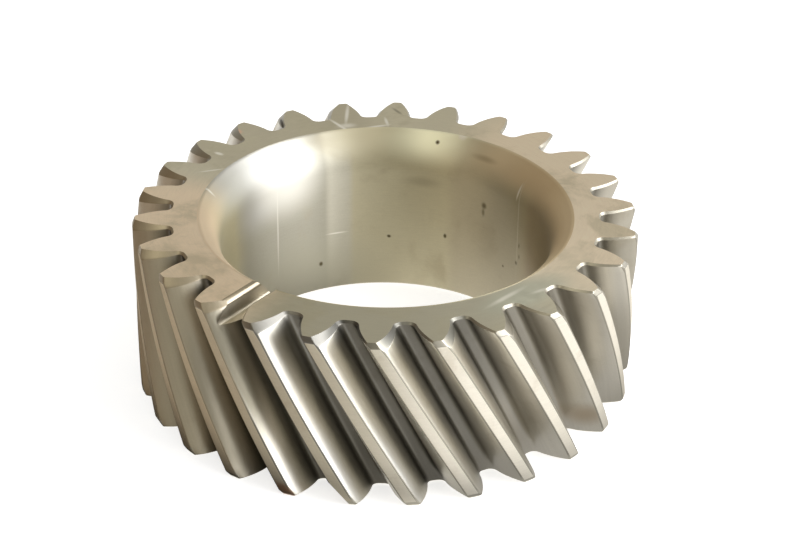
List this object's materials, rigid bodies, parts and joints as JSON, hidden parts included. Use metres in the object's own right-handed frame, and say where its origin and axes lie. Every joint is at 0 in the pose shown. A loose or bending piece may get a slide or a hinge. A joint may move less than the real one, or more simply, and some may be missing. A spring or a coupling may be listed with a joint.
{
  "type": "gear wheel",
  "caption": "Steel helical gear ring with left-hand involute teeth, a smooth press-fit bore with a conical lead-in and a radial slot across one face.",
  "frame": {"origin": "centre of the lower face, on the bore axis", "axes": "+Z along the bore axis from the plain lower face to the slotted upper face, -Y along the slot from the bore to the teeth"},
  "size_m": [0.1252, 0.1252, 0.045],
  "materials": {
    "steel": "used bright steel: turned faces and ground tooth flanks, with faint brown staining, small pits and scratches"
  },
  "bodies": {
    "root": {"gear_wheel": "steel"}
  },
  "joints": []
}
